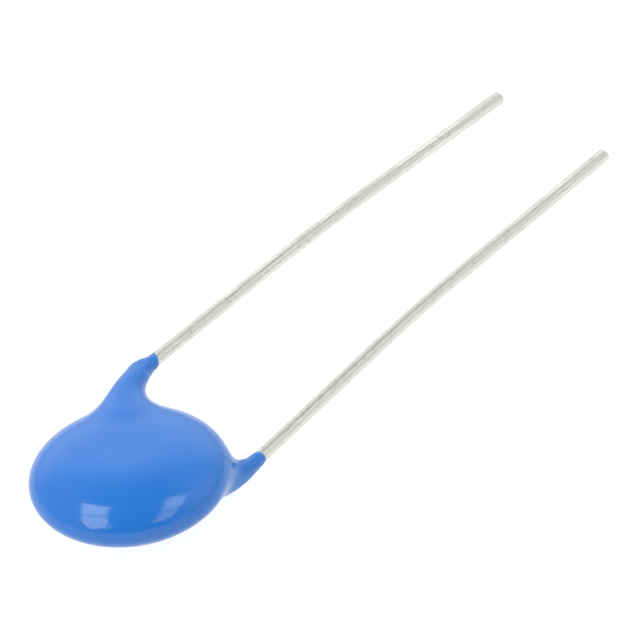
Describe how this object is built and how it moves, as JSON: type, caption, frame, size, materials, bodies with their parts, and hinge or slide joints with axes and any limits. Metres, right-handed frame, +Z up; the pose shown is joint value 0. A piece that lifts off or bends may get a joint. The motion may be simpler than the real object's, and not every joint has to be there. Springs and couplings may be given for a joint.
{
  "type": "varistor",
  "caption": "Radial-lead metal-oxide varistor: a blue epoxy-coated disc, the coat drawn out into a neck on each long tinned wire lead; a ceramic disc, electrodes and solder inside.",
  "frame": {"origin": "middle of the part's bounding box in X and Y, on the surface that it lies on", "axes": "+Y along the leads, from the disc to the tips; +Z up, out of the disc's front face; +X from the front lead to the rear lead"},
  "size_m": [0.0122, 0.0483, 0.0045],
  "materials": {
    "epoxy": "glossy dipped epoxy",
    "tinned_wire": "dull tin with fine lengthwise drawing marks",
    "solder": "smooth tin solder",
    "fired_silver": "matte fired silver",
    "zinc_oxide_ceramic": "matte sintered ceramic"
  },
  "bodies": {
    "root": {"ceramic_disc": "zinc_oxide_ceramic", "front_electrode": "fired_silver", "rear_electrode": "fired_silver", "front_solder_joint": "solder", "rear_solder_joint": "solder", "front_lead": "tinned_wire", "rear_lead": "tinned_wire", "epoxy_coat": "epoxy"}
  },
  "joints": []
}
